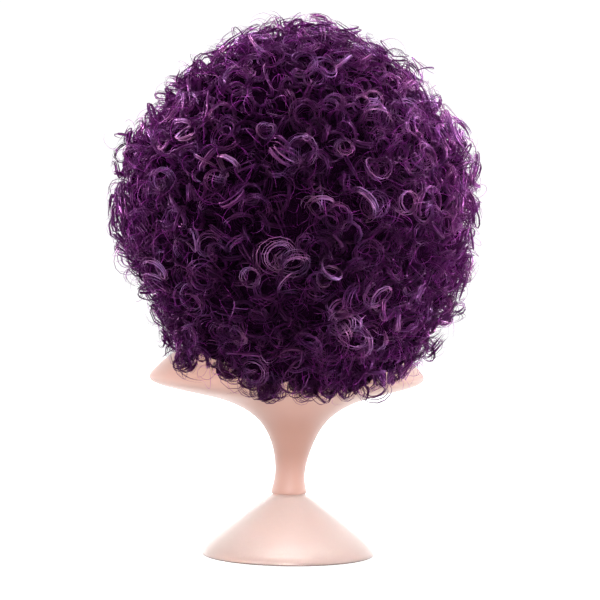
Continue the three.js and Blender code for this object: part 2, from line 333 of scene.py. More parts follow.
class HairSettings(bpy.types.PropertyGroup):
    """Sizes and colours of the curls"""

    centre: bpy.props.FloatVectorProperty(
        name="Centre",
        description="Middle of the round head of hair",
        default=(-2 * MM, 4 * MM, 345 * MM),
        size=3,
        subtype="TRANSLATION",
        unit="LENGTH",
    )
    half_size: bpy.props.FloatVectorProperty(
        name="Half size",
        description="Half the width, depth and height of the head of hair",
        default=(180 * MM, 176 * MM, 192 * MM),
        size=3,
        subtype="XYZ",
        unit="LENGTH",
    )
    mass_share: bpy.props.FloatProperty(
        name="Mass share",
        description="Share of the radius that the dense dark mass under the curls fills",
        default=0.895,
        min=0.5,
        max=1.0,
        subtype="FACTOR",
    )
    curl_radius: Length(
        name="Curl radius",
        description="Usual radius of a ringlet",
        default=10.6 * MM,
    )
    curl_spacing: Length(
        name="Curl spacing",
        description="Least distance between the roots of two ringlets",
        default=12.6 * MM,
    )
    fibre_width: Length(
        name="Fibre width",
        description="Width of one visible lock of fibres in a ringlet",
        default=1.0 * MM,
    )
    seed: bpy.props.IntProperty(
        name="Seed",
        description="Start of the random draws that set the curls apart",
        default=11,
    )


class StageSettings(bpy.types.PropertyGroup):
    """The camera and the light"""

    distance: Length(
        name="Camera distance",
        description="From the stand's axis to the camera",
        default=1.8,
    )
    height: Length(
        name="Camera height",
        description="Height of the level camera above the table",
        default=254 * MM,
    )
    turn: Angle(
        name="Camera turn",
        description="How far the camera stands round from the nape",
        default=math.radians(-10),
    )
    aside: Length(
        name="Aside",
        description="How far the stand's axis lies to the left of the image's middle",
        default=8.5 * MM,
    )
    roll: Angle(
        name="Camera roll",
        description="How far the camera leans, which tips the image the other way",
        default=math.radians(0.8),
    )


# Helpers


def smoothstep(low, high, value):
    """A soft step from 0 at low to 1 at high."""
    share = np.clip((value - low) / (high - low), 0.0, 1.0)
    return share * share * (3 - 2 * share)


def unit(vectors):
    """The vectors, each with length 1."""
    return vectors / np.maximum(np.linalg.norm(vectors, axis=-1, keepdims=True), 1e-9)


def read_table(table, key, column, position):
    """The value of a table's column at positions along its key, read between its rows."""
    keys = [getattr(row, key) for row in table]
    values = [getattr(row, column) for row in table]
    return np.interp(position, keys, values)


def to_object(bm, name, material):
    """A finished object from a bmesh, with smooth faces that point outwards."""
    bmesh.ops.recalc_face_normals(bm, faces=bm.faces)
    for face in bm.faces:
        face.smooth = True
    mesh = bpy.data.meshes.new(name)
    bm.to_mesh(mesh)
    bm.free()
    return link(name, mesh, material)


def link(name, mesh, *materials):
    """A new object in the scene that holds a mesh."""
    for material in materials:
        mesh.materials.append(material)
    piece = bpy.data.objects.new(name, mesh)
    bpy.context.scene.collection.objects.link(piece)
    return piece


def settle(piece, slot, *nodes):
    """Says where a piece belongs: its body and the frame's nodes that it stands for.

    slot is not used.
    """
    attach(piece, BODY)
    if nodes:
        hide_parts(*nodes)


def section_point(section, turn):
    """A point of a section at a turn round the stand's axis."""
    bend = section.sweep * SHOULDER_SWEEP * math.cos(turn) ** 2
    across = section.width * MM * math.cos(turn) - section.aside * MM
    return Vector((across, section.depth * MM * math.sin(turn) - bend, section.height * MM))


def loft(node, sections, sides):
    """A moulding of the stand: rings of vertices in a row, closed at both ends and rounded."""
    bm = bmesh.new()
    turn_layer = bm.verts.layers.float.new("turn")
    ring = bmesh.ops.create_circle(bm, cap_ends=False, radius=1.0, segments=sides)["verts"]
    for vert in ring:
        vert[turn_layer] = math.atan2(vert.co.y, vert.co.x)
    edges = list(bm.edges)
    first = edges
    for number, section in enumerate(sections):
        if number:
            grown = bmesh.ops.extrude_edge_only(bm, edges=edges)["geom"]
            ring = [item for item in grown if isinstance(item, bmesh.types.BMVert)]
            members = set(ring)
            edges = [
                item
                for item in grown
                if isinstance(item, bmesh.types.BMEdge) and set(item.verts) <= members
            ]
        for vert in ring:
            vert.co = section_point(section, vert[turn_layer])
    for rim in (first, edges):
        bmesh.ops.contextual_create(bm, geom=rim)
    piece = to_object(bm, node + "_moulding", bpy.data.materials["bust plastic"])
    modifier = piece.modifiers.new("round", "SUBSURF")
    modifier.levels = 1
    modifier.render_levels = 1
    settle(piece, "stand", node)


# Materials


def new_material(name):
    """An empty node material and its shader."""
    material = bpy.data.materials.new(name)
    material.use_nodes = True
    return material, material.node_tree.nodes["Principled BSDF"]


def feed(tree, node, values):
    """Fills a node's inputs: sockets are linked, and all else is set as a constant value."""
    for key, value in values.items():
        if isinstance(value, bpy.types.NodeSocket):
            tree.links.new(value, node.inputs[key])
        else:
            node.inputs[key].default_value = value


def add_node(tree, kind, values=None, **settings):
    """A node with its settings and its inputs filled."""
    node = tree.nodes.new(kind)
    for key, value in settings.items():
        setattr(node, key, value)
    feed(tree, node, values or {})
    return node


def add_ramp(tree, factor, stops):
    """A colour ramp with the given stops, fed by a factor."""
    node = add_node(tree, "ShaderNodeValToRGB", {"Fac": factor})
    elements = node.color_ramp.elements
    while len(elements) < len(stops):
        elements.new(1.0)
    for element, (position, colour) in zip(elements, stops):
        element.position = position
        element.color = (*colour, 1.0)
    return node.outputs["Color"]


def add_range(tree, value, low, high, start, end, way="LINEAR"):
    """A value's way from low to high, turned into a way from start to end."""
    values = {"Value": value, "From Min": low, "From Max": high, "To Min": start, "To Max": end}
    return add_node(tree, "ShaderNodeMapRange", values, interpolation_type=way).outputs["Result"]


def add_math(tree, operation, *values):
    """The result of one operation on values."""
    node = add_node(tree, "ShaderNodeMath", dict(enumerate(values)), operation=operation)
    return node.outputs["Value"]


def add_mix(tree, factor, first, second, blend="MIX"):
    """Two colours mixed by a factor."""
    values = {"Factor": factor, MIX_FIRST: first, MIX_SECOND: second}
    node = add_node(tree, "ShaderNodeMix", values, data_type="RGBA", blend_type=blend)
    return node.outputs[MIX_RESULT]


def add_bump(tree, height, strength, distance):
    """The normal of a surface with a fine relief."""
    values = {"Height": height, "Strength": strength, "Distance": distance}
    return add_node(tree, "ShaderNodeBump", values).outputs["Normal"]


def object_place(tree):
    """The place on the object, in metres."""
    return tree.nodes.new("ShaderNodeTexCoord").outputs["Object"]


def streak_group():
    """Fine streaks along one direction, as fibres, brushed net and moulded plastic show."""
    name = "fine streaks"
    if name in bpy.data.node_groups:
        return bpy.data.node_groups[name]
    group = bpy.data.node_groups.new(name, "ShaderNodeTree")
    for socket, way, kind in (
        ("Vector", "INPUT", "NodeSocketVector"),
        ("Stretch", "INPUT", "NodeSocketVector"),
        ("Detail", "INPUT", "NodeSocketFloat"),
        ("Mask", "OUTPUT", "NodeSocketFloat"),
        ("Cloud", "OUTPUT", "NodeSocketFloat"),
    ):
        group.interface.new_socket(socket, in_out=way, socket_type=kind)
    given = group.nodes.new("NodeGroupInput").outputs
    both = {0: given["Vector"], 1: given["Stretch"]}
    place = add_node(group, "ShaderNodeVectorMath", both, operation="MULTIPLY").outputs["Vector"]
    fine = {"Vector": place, "Scale": 1.0, "Roughness": 0.6, "Detail": given["Detail"]}
    broad = {"Vector": place, "Scale": 0.13, "Detail": 1.0}
    results = {
        "Mask": add_node(group, "ShaderNodeTexNoise", fine).outputs["Fac"],
        "Cloud": add_node(group, "ShaderNodeTexNoise", broad).outputs["Fac"],
    }
    add_node(group, "NodeGroupOutput", results)
    return group


def add_streaks(tree, vector, stretch, detail):
    """The outputs of the streak group in one material, with its own values."""
    node = tree.nodes.new("ShaderNodeGroup")
    node.node_tree = streak_group()
    feed(tree, node, {"Vector": vector, "Stretch": stretch, "Detail": detail})
    return node.outputs


def plastic_material(name, colour, blush, roughness, coat, deeper):
    """Satin moulded plastic in a warm skin tone, faintly clouded, with a fine moulded grain.

    The lowest millimetre, where it meets the table, is dulled by a thin dark line of painted
    contact shadow. deeper is how much the stem's slim middle darkens, as painted shade.
    """
    material, shader = new_material(name)
    tree = material.node_tree
    place = object_place(tree)
    streaks = add_streaks(tree, place, (60.0, 60.0, 40.0), 3.0)
    clouded = add_ramp(tree, streaks["Cloud"], ((0.3, tuple(blush)), (0.7, tuple(colour))))
    height = add_node(tree, "ShaderNodeSeparateXYZ", {"Vector": place}).outputs["Z"]
    # The stem's slim middle, from above the foot up to the flare, is darkened as painted shade.
    above_foot = add_range(tree, height, 72 * MM, 104 * MM, 0.0, 1.0, "SMOOTHSTEP")
    below_flare = add_range(tree, height, 160 * MM, 122 * MM, 0.0, deeper, "SMOOTHSTEP")
    slim = add_math(tree, "MULTIPLY", above_foot, below_flare)
    with_painted_shade = add_mix(tree, slim, clouded, (0.76, 0.7, 0.66, 1.0), "MULTIPLY")
    # The lowest millimetre turns dark brown as painted contact shadow where the base meets the
    # table.
    clear_of_painted_shadow = add_range(tree, height, 0.5 * MM, 1.5 * MM, 0.0, 1.0)
    grain = add_node(tree, "ShaderNodeTexNoise", {"Vector": place, "Scale": 900.0, "Detail": 2.0})
    finish = {
        "Base Color": add_mix(tree, clear_of_painted_shadow, (0.16, 0.10, 0.08, 1.0), with_painted_shade),
        "Roughness": add_range(tree, streaks["Mask"], 0.0, 1.0, roughness - 0.05, roughness + 0.07),
        "Normal": add_bump(tree, grain.outputs["Fac"], 0.04, 0.2 * MM),
        "Sheen Weight": 0.9,
        "Sheen Roughness": 0.45,
        "Sheen Tint": (1.0, 0.92, 0.9, 1.0),
        "Coat Weight": coat,
        "Coat Roughness": 0.16,
        "Subsurface Weight": 0.12,
        "Subsurface Radius": (1.0, 0.45, 0.3),
        "Subsurface Scale": 6 * MM,
    }
    feed(tree, shader, finish)


def net_material(settings):
    """Dark stretch net with rows of sewn tape."""
    material, shader = new_material("cap net")
    tree = material.node_tree
    place = object_place(tree)
    streaks = add_streaks(tree, place, (500.0, 500.0, 90.0), 2.0)
    wave = {"Vector": place, "Scale": 24.0, "Distortion": 0.6}
    bands = {"wave_type": "BANDS", "bands_direction": "Z"}
    tapes = add_node(tree, "ShaderNodeTexWave", wave, **bands).outputs["Fac"]
    cells = {"Vector": place, "Scale": 420.0}
    mesh = add_node(tree, "ShaderNodeTexVoronoi", cells, feature="DISTANCE_TO_EDGE")
    colour = add_ramp(tree, tapes, ((0.55, tuple(settings.net)), (0.8, tuple(settings.tape))))
    stops = ((0.0, (1, 1, 1)), (0.12, (0.3, 0.3, 0.3)))
    threads = add_ramp(tree, mesh.outputs["Distance"], stops)
    finish = {
        "Base Color": add_mix(tree, 0.35, colour, threads, "MULTIPLY"),
        "Normal": add_bump(tree, add_math(tree, "ADD", tapes, streaks["Mask"]), 0.6, 0.8 * MM),
        "Roughness": 0.8,
    }
    feed(tree, shader, finish)


def mass_material():
    """The hair's inner mass in near-black painted shade, with faint rings of curled fibres."""
    material, shader = new_material("hair mass")
    tree = material.node_tree
    place = object_place(tree)
    mask = add_streaks(tree, place, (300.0, 300.0, 300.0), 3.0)["Mask"]
    cells = {"Vector": place, "Scale": 62.0}
    curls = add_node(tree, "ShaderNodeTexVoronoi", cells, feature="F1").outputs["Distance"]
    wobble = add_math(tree, "MULTIPLY_ADD", mask, 0.16, curls)
    rings = add_math(tree, "SINE", add_math(tree, "MULTIPLY", wobble, 74.0))
    patchy = add_math(tree, "MULTIPLY", rings, mask)
    # Near-black colours, as painted shade of the deep hair under the curls.
    stops = (
        (0.0, (0.003, 0.0004, 0.003)),
        (0.3, (0.010, 0.0012, 0.010)),
        (0.6, (0.036, 0.005, 0.038)),
    )
    finish = {
        "Base Color": add_ramp(tree, patchy, stops),
        "Normal": add_bump(tree, patchy, 0.7, 1.2 * MM),
        "Roughness": 0.85,
        "Specular IOR Level": 0.0,
    }
    feed(tree, shader, finish)


def fibre_material(name, clearness):
    """Glossy purple fibre. The map runs along a lock in U, and V picks its tint from dark to light.

    clearness is the share of the light that goes through a fibre and colours its far side.
    """
    material, shader = new_material(name)
    tree = material.node_tree
    place = add_node(tree, "ShaderNodeUVMap", uv_map=BAKE_MAP).outputs["UV"]
    lane = add_node(tree, "ShaderNodeSeparateXYZ", {"Vector": place}).outputs["Y"]
    mask = add_streaks(tree, place, (6.0, 1.6 / STREAK_LANE, 1.0), 2.0)["Mask"]
    tint = add_math(tree, "ADD", lane, add_range(tree, mask, 0.25, 0.75, -0.26, 0.26))
    stops = (
        (0.0, (0.005, 0.0006, 0.005)),
        (0.4, (0.0155, 0.003, 0.0155)),
        (0.75, (0.112, 0.028, 0.112)),
        (1.0, (0.64, 0.30, 0.64)),
    )
    cloud = {"Vector": object_place(tree), "Scale": 55.0, "Detail": 1.0}
    dye = add_node(tree, "ShaderNodeTexNoise", cloud).outputs["Fac"]
    hues = add_ramp(tree, dye, ((0.36, (1.0, 0.92, 0.82)), (0.64, (0.8, 0.95, 1.0))))
    finish = {
        "Base Color": add_mix(tree, 1.0, add_ramp(tree, tint, stops), hues, "MULTIPLY"),
        "Roughness": add_range(tree, mask, 0.0, 1.0, 0.26, 0.44),
        "Metallic": 0.55,
        "Specular Tint": (1.0, 0.45, 1.0, 1.0),
        "Specular IOR Level": 0.2,
    }
    feed(tree, shader, finish)
    through = add_node(tree, "ShaderNodeBsdfTranslucent", {"Color": (0.86, 0.24, 0.88, 1.0)})
    layers = {"Fac": clearness, 1: shader.outputs["BSDF"], 2: through.outputs["BSDF"]}
    surface = add_node(tree, "ShaderNodeMixShader", layers).outputs["Shader"]
    feed(tree, tree.nodes["Material Output"], {"Surface": surface})


# Shapes of the hair


class HairForm:
    """The round form of the hair, with the cap and the stand that it stays clear of."""

    def __init__(self, settings):
        self.centre = np.array(settings.centre)
        self.half = np.array(settings.half_size)
        self.share = settings.mass_share
        turn = bpy.context.scene.wig_stage.turn
        self.across = np.array((-math.cos(turn), -math.sin(turn), 0.0))
        self.behind = np.array((-math.sin(turn), math.cos(turn), 0.0))
        self.cap_centre = np.array((0.0, 0.0, CAP_LEVEL))
        self.cap_half = np.array((CAP_HALF_WIDTH, CAP_BOX[1].y, CAP_BOX[1].z - CAP_LEVEL))

    def outline(self, ways):
        """Distance from the hair's middle to its outline in each direction, fuller low down."""
        lift = ways[..., 2]
        fullness = 1.0 - 0.1 * lift * np.sqrt(np.maximum(1.0 - lift**2, 0.0))
        radius = fullness / np.linalg.norm(ways / self.half, axis=-1)
        for tuft in TUFTS:
            middle = self.across * tuft.across + UP * tuft.up
            apart = np.degrees(np.arccos(np.clip(ways @ unit(middle), -1.0, 1.0)))
            radius = radius + tuft.rise * MM * np.exp(-((apart / tuft.spread) ** 2))
        return radius

    def swell(self, points):
        """Slow swells and hollows of the outline, as a length."""
        around = points - self.centre
        first = np.sin(around @ np.array((115.0, 70.0, 45.0)) + 0.7)
        second = np.sin(around @ np.array((-60.0, 90.0, 125.0)) + 2.1)
        third = np.sin(around @ np.array((45.0, -130.0, 85.0)) + 4.4)
        return 4.5 * MM * (first * second + 0.7 * third)

    def cap_size(self, upper, gap):
        """Half the cap's size with a gap outside it, for places in its upper or lower half."""
        height = np.where(upper, self.cap_half[2], CAP_DROP)
        level = np.broadcast_to(self.cap_half[:2], upper.shape[:-1] + (2,))
        return np.concatenate([level, height], -1) + gap

    def cap_radius(self, ways, gap):
        """Distance from the hair's middle to the cap in each direction, with a gap outside it."""
        half = self.cap_size(ways[..., 2:] > 0, gap)
        start = (self.centre - self.cap_centre) / half
        along = ways / half
        a = np.sum(along * along, -1)
        b = np.sum(start * along, -1)
        c = np.sum(start * start, -1) - 1.0
        return (np.sqrt(np.maximum(b * b - a * c, 0.0)) - b) / a

    def keep_out(self, points, gap):
        """The points moved out of the cap and of the stand, with a gap."""
        half = self.cap_size(points[..., 2:] > self.cap_centre[2], gap)
        scaled = (points - self.cap_centre) / half
        depth = np.linalg.norm(scaled, axis=-1, keepdims=True)
        outside = self.cap_centre + scaled / np.maximum(depth, LEAST_REACH) * half
        points = np.where(depth < 1.0, outside, points)
        height = points[..., 2] / MM
        width, length, sweep, aside = (
            read_table(STAND_SECTIONS, "height", column, height)
            for column in ("width", "depth", "sweep", "aside")
        )
        width = width * MM + gap
        length = length * MM + gap
        sweep = sweep * SHOULDER_SWEEP
        aside = aside * MM
        across = (points[..., 0] + aside) / width
        forward = points[..., 1] + sweep * np.clip(across, -1, 1) ** 2
        reach = np.hypot(across, forward / length)
        inside = (reach < 1.0) & (height < STAND_SECTIONS[-1].height)
        grow = np.where(inside, 1.0 / np.maximum(reach, LEAST_REACH), 1.0)
        moved = points.copy()
        moved[..., 0] = np.where(inside, across * grow * width - aside, points[..., 0])
        pushed = forward * grow - sweep * np.clip(across * grow, -1, 1) ** 2
        moved[..., 1] = np.where(inside, pushed, points[..., 1])
        return moved


def direction(longitude, latitude):
    """Unit vectors at longitudes and latitudes in degrees."""
    turn = np.radians(longitude)
    lift = np.radians(latitude)
    return np.stack([np.cos(lift) * np.cos(turn), np.cos(lift) * np.sin(turn), np.sin(lift)], -1)


def low_edge(row, which, from_back):
    """The latitude where a row ends below at one place round the head."""
    value = getattr(row, which)
    if row.sides is None:
        return value
    parted = PARTING_LIFT * np.exp(-(((from_back - PARTING_TURN) / PARTING_SPREAD) ** 2))
    return value + (row.sides - value) * smoothstep(30, 80, abs(from_back)) + parted


def main_mass(form, row, above, material):
    """The dense mass of one row, between the cap and its curls.

    Returns the piece, and the corners, the normal and the part of each of its faces.
    """
    columns = round(row.tip_reach / 180 * MASS_COLUMNS)
    inside, under, outside = 3, 3, 5
    turns_at = (inside, inside + under, inside + under + outside)
    around = turns_at[-1] + under
    bm = bmesh.new()
    bmesh.ops.create_grid(bm, x_segments=columns, y_segments=around, size=0.5)
    part_layer = bm.faces.layers.int.new("part")
    spot = {}
    for vert in bm.verts:
        spot[vert] = (round((vert.co.x + 0.5) * columns), round((vert.co.y + 0.5) * around))
    for face in bm.faces:
        step = min(spot[vert][1] for vert in face.verts)
        face[part_layer] = int(np.searchsorted(turns_at, step, "right"))
    for vert in bm.verts:
        column, step = spot[vert]
        way_round = 2 * column / columns - 1
        turns = (row.root_reach * way_round, row.tip_reach * way_round)
        tops = (above.root - ROW_GAP, above.tip - ROW_GAP) if above else (90.0, 90.0)
        lows = (low_edge(row, "root", turns[0]), low_edge(row, "tip", turns[1]))
        step %= around
        if step <= turns_at[0]:
            level, out = step / inside, 0.0
        elif step <= turns_at[1]:
            level, out = 1.0, (step - turns_at[0]) / under
        elif step <= turns_at[2]:
            level, out = 1.0 - (step - turns_at[1]) / outside, 1.0
        else:
            level, out = 0.0, 1.0 - (step - turns_at[2]) / under
        ends = []
        share = form.share * (1.0 - NAPE_TUCK * level * (row.sides is not None))
        for turn, top, low, reach in zip(turns, tops, lows, (0.0, share)):
            way = direction(90.0 + turn, top + (low - top) * level)
            radius = form.cap_radius(way, 1.5 * MM) if reach == 0.0 else form.outline(way) * reach
            point = form.centre + way * radius
            ends.append(point + way * form.swell(point) * (reach > 0))
        point = ends[0] + (ends[1] - ends[0]) * out
        vert.co = form.keep_out(point, 2.5 * MM)
    bmesh.ops.remove_doubles(bm, verts=bm.verts, dist=0.02 * MM)
    bmesh.ops.dissolve_degenerate(bm, edges=bm.edges, dist=0.01 * MM)
    ends = [edge for edge in bm.edges if edge.is_boundary]
    if ends:
        filled = bmesh.ops.holes_fill(bm, edges=ends, sides=0)["faces"]
        for face in filled:
            face[part_layer] = AT_END
    bmesh.ops.recalc_face_normals(bm, faces=bm.faces)
    bmesh.ops.triangulate(bm, faces=bm.faces)
    corners, normals, parts = [], [], []
    for face in bm.faces:
        corners.append([tuple(vert.co) for vert in face.verts])
        normals.append(tuple(face.normal))
        parts.append(face[part_layer])
    piece = to_object(bm, row.name + "_mass", material)
    return piece, np.array(corners), np.array(normals), np.array(parts)


def open_faces(form, row, corners, parts):
    """True for the faces of a mass that curls grow from, clear of the cap and the other rows."""
    middle = corners.mean(1) - form.centre
    from_front = np.degrees(np.abs(np.arctan2(middle[:, 0], -middle[:, 1])))
    under = {
        "hair_fringe": from_front < 46,
        "hair_lower": from_front < 125,
        "hair_nape": np.ones(len(parts), bool),
    }.get(row.name, np.zeros(len(parts), bool))
    return (parts == OUTSIDE) | (parts == AT_END) | ((parts == UNDERNEATH) & under)


def scatter(rng, corners, normals, spacing):
    """Points spread over faces with a least spacing, and the direction that each faces."""
    sides = np.cross(corners[:, 1] - corners[:, 0], corners[:, 2] - corners[:, 0])
    areas = np.linalg.norm(sides, axis=1) / 2
    tries = int(areas.sum() / spacing**2 * 9)
    chosen = rng.choice(len(areas), size=tries, p=areas / areas.sum())
    first = np.sqrt(rng.random(tries))[:, None]
    second = rng.random(tries)[:, None]
    a, b, c = corners[chosen].transpose(1, 0, 2)
    points = a * (1 - first) + b * first * (1 - second) + c * first * second
    kept = []
    for index, point in enumerate(points):
        near = points[kept] - point
        if not kept or np.min(np.einsum("ij,ij->i", near, near)) > spacing**2:
            kept.append(index)
    return points[kept], normals[chosen[kept]]


Curls = namedtuple("Curls", "start bend end radius turns phase hand spread tint")


def sideways(rng, outward):
    """Random directions at right angles to others."""
    aside = rng.normal(size=outward.shape)
    return unit(aside - outward * np.sum(aside * outward, 1, keepdims=True))


def winding(rng, count):
    """Where each ringlet starts to turn, and which way round it winds."""
    phase = rng.uniform(0, 2 * math.pi, (count, 1))
    return phase, rng.choice((-1.0, 1.0), size=(count, 1))


def of_kind(column, kind):
    """A value from the table of kinds, for each curl."""
    return np.array([getattr(row, column) for row in CURL_KINDS])[kind]


def draw_curls(rng, form, settings, points, normals):
    """Ringlets of three kinds that rise from the mass, and the kind of each."""
    count = len(points)
    between = partial(rng.uniform, size=(count, 1))
    outward = unit(points - form.centre)
    outward = unit(outward + 0.8 * normals)
    low = smoothstep(0.5, 0.85, -outward[:, 2:])
    level = unit(outward * LEVEL)
    outward = unit(outward + 0.8 * low * (level - outward))
    room = form.outline(unit(points - form.centre)) + form.swell(points) + 5 * MM
    room = np.clip(room - np.linalg.norm(points - form.centre, axis=1), *CURL_ROOM)[:, None]
    hanging = normals[:, 2:] < -0.6
    room = np.where(hanging, between(8, 19) * MM, room)
    kind = rng.choice(3, size=count, p=[row.share for row in CURL_KINDS])[:, None]
    kind = np.where(hanging & (rng.random((count, 1)) < 0.5), LOOSE, kind)
    radius = settings.curl_radius * between(0.7, 1.36)
    radius = np.where(kind == LOOSE, radius * 1.15, radius)
    aside = sideways(rng, outward)
    fall = -UP - outward * np.sum(-UP * outward, 1, keepdims=True)
    lean = unit(aside + (0.55 + 0.5 * low) * fall)
    start = points - outward * ROOT_DEPTH
    lift = np.maximum(room - radius - between(0.0, 0.36) * room, 0.2 * room)
    lift = np.where(kind == LOOSE, room - radius * between(0.3, 0.9), lift)
    length = radius * between(1.5, 2.8)
    rise = unit(outward + 0.4 * aside + 0.25 * fall)
    tip = points + rise * (room - between(0.12, 0.42) * room)
    rising = start + 0.8 * (tip - start) + aside * 2 * MM
    bend = np.where(kind == END_ON, rising, points + outward * lift * 1.15)
    end = np.where(kind == END_ON, tip, points + outward * lift + lean * length)
    turns = of_kind("fewest_turns", kind) + of_kind("more_turns", kind) * rng.random((count, 1))
    phase, hand = winding(rng, count)
    spread = np.where(kind == LOOSE, 2 * MM, radius * between(0.35, 0.75))
    # Painted light and shade: curls that reach farther out tint lighter, and curls over the
    # outline's swells tint lighter and over its hollows darker.
    painted_light_reach = np.linalg.norm((bend + end) / 2 - points, axis=1, keepdims=True) / room
    painted_swell_shade = form.swell(points)[:, None] / (6 * MM)
    tint = rng.normal(0.39, 0.16, (count, 1)) + 0.22 * (painted_light_reach - 0.7) + 0.45 * painted_swell_shade
    tint = np.clip(tint, *TINT_RANGE)
    return Curls(start, bend, end, radius, turns, phase, hand, spread, tint), kind[:, 0]


def draw_edge_ringlets(rng, form, row, count):
    """Ringlets seen end on that hang along a row's lower edge."""
    between = partial(rng.uniform, size=(count, 1))
    from_back = rng.uniform(-0.95, 0.95, count) * row.tip_reach
    way = direction(90.0 + from_back, low_edge(row, "tip", from_back))
    edge = form.centre + way * (form.outline(way) * form.share)[:, None]
    aside, back, up = SHOULDER_PLACE
    shoulder = form.centre + form.across * aside + form.behind * back + UP * up
    edge[:SHOULDER_RINGLETS] = shoulder + rng.normal(0, 8 * MM, (SHOULDER_RINGLETS, 3))
    edge = form.keep_out(edge, 5 * MM)
    level = unit((edge - form.centre) * LEVEL)
    middle = edge + level * between(2, 9) * MM + between(-3, 14) * MM * UP
    axis = unit(level + rng.normal(0, 0.3, (count, 3)))
    bend = middle + rng.normal(0, 1.5 * MM, (count, 3))
    start = middle - axis * ROOT_DEPTH
    end = middle + axis * between(4, 10) * MM
    radius = between(6.5, 10.5) * MM
    turns = between(1.1, 1.9)
    phase, hand = winding(rng, count)
    spread = radius * between(0.2, 0.5)
    tint = np.clip(rng.normal(0.46, 0.1, (count, 1)), *TINT_RANGE)
    return Curls(start, bend, end, radius, turns, phase, hand, spread, tint)


def draw_frizz(rng, form, points):
    """Single fine hairs that bow out between the ringlets and past the outline."""
    count = len(points)
    between = partial(rng.uniform, size=(count, 1))
    outward = unit(points - form.centre)
    room = (form.outline(outward) - np.linalg.norm(points - form.centre, axis=1))[:, None]
    aside = sideways(rng, outward)
    start = points + outward * room * between(0.2, 0.7)
    end = points + outward * room * between(0.55, 1.08)
    end = end + aside * between(6, 22) * MM
    bend = (start + end) / 2 + outward * between(-2, 7) * MM
    radius = between(5, 12) * MM
    turns = between(0.3, 0.8)
    phase, hand = winding(rng, count)
    spread = np.zeros((count, 1))
    # The fine hairs get a lighter tint than the ringlets, as painted backlight through thin fibres.
    tint = np.clip(rng.normal(0.6, 0.14, (count, 1)), *TINT_RANGE)
    return Curls(start, bend, end, radius, turns, phase, hand, spread, tint)


def fibre_paths(rng, form, curls, owner, steps, looseness, wave_height, root_share):
    """Paths of fibres wound on their ringlets, and the direction away from each ringlet's middle.

    The last result is true for the fibres to keep. The others stray far past the outline, hang too
    low, lie in the nape's parting or would be bent out of shape by the cap and the stand.
    """
    pick = Curls(*(values[owner] for values in curls))
    count = len(owner)
    t = np.linspace(0.0, 1.0, steps)[None, :, None]
    start, bend, end = (values[:, None, :] for values in (pick.start, pick.bend, pick.end))
    axis = (1 - t) ** 2 * start + 2 * t * (1 - t) * bend + t**2 * end
    along = unit(2 * (1 - t) * (bend - start) + 2 * t * (end - bend))
    side = unit(np.cross(bend - start, end - bend) + 1e-7)
    third = np.cross(along, side)
    loose = rng.normal(0.0, 1.0, (count, 4, 1, 1))
    radius = pick.radius[:, None] * (1 + looseness[:, None, None] * loose[:, 0])
    opening = root_share + (1 - root_share) * smoothstep(0.0, 0.22, t)
    radius = radius * opening * (1 - 0.25 * smoothstep(0.6, 1.0, t))
    turned = 2 * math.pi * pick.turns[:, None] * t * pick.hand[:, None]
    angle = pick.phase[:, None] + turned + 0.10 * loose[:, 1]
    away = np.cos(angle) * side + np.sin(angle) * third
    slide = pick.spread[:, None] * rng.uniform(-0.5, 0.5, (count, 1, 1))
    slide = slide * (0.35 + 0.65 * smoothstep(0, 0.3, t))
    wave = rng.uniform(0, 2 * math.pi, (count, 1, 3)) + t * rng.uniform(3, 11, (count, 1, 3))
    drift = 6 * MM * looseness[:, None, None] * rng.normal(size=(count, 1, 3))
    drift = drift * smoothstep(0, 0.4, t)
    path = axis + along * slide + away * radius + drift + wave_height * np.sin(wave)
    clear = form.keep_out(path, 1.2 * MM)
    shifted = np.linalg.norm(clear - path, axis=-1).max(axis=1)
    spread = clear - form.centre
    past = (np.linalg.norm(spread, axis=-1) - form.outline(unit(spread))).max(axis=1)
    kept = (shifted < FARTHEST_SHIFT) & (past < FARTHEST_STRAY)
    kept = kept & (clear[..., 2].min(axis=1) > LOWEST_CURL)
    gap = PARTING_WIDTH * np.clip((PARTING_TOP - clear[..., 2]) / PARTING_DEPTH, 0.0, 1.0)
    parted = (np.abs(spread @ form.across - NAPE_PARTING) < gap) & (spread[..., 1] > 0)
    parted = parted.any(axis=1) & (rng.random(count) < PARTING_SHARE)
    return clear, away, kept & ~parted


def fibre_tubes(paths, away, width, thickness):
    """Closed three-sided tubes along paths, flat towards their ringlet's middle."""
    along = unit(np.gradient(paths, axis=1))
    out = unit(away - along * np.sum(away * along, -1, keepdims=True))
    across = np.cross(along, out)
    t = np.linspace(0.0, 1.0, paths.shape[1])[None, :, None]
    taper = (0.6 + 0.4 * smoothstep(0.0, 0.15, t)) * (1 - 0.9 * smoothstep(0.65, 1.0, t))
    wide = width[:, None, None] * taper
    thick = thickness[:, None, None] * taper
    corners = ((0.67, 0.0), (-0.33, 0.5), (-0.33, -0.5))
    return np.stack([paths + out * thick * a + across * wide * b for a, b in corners], axis=2)


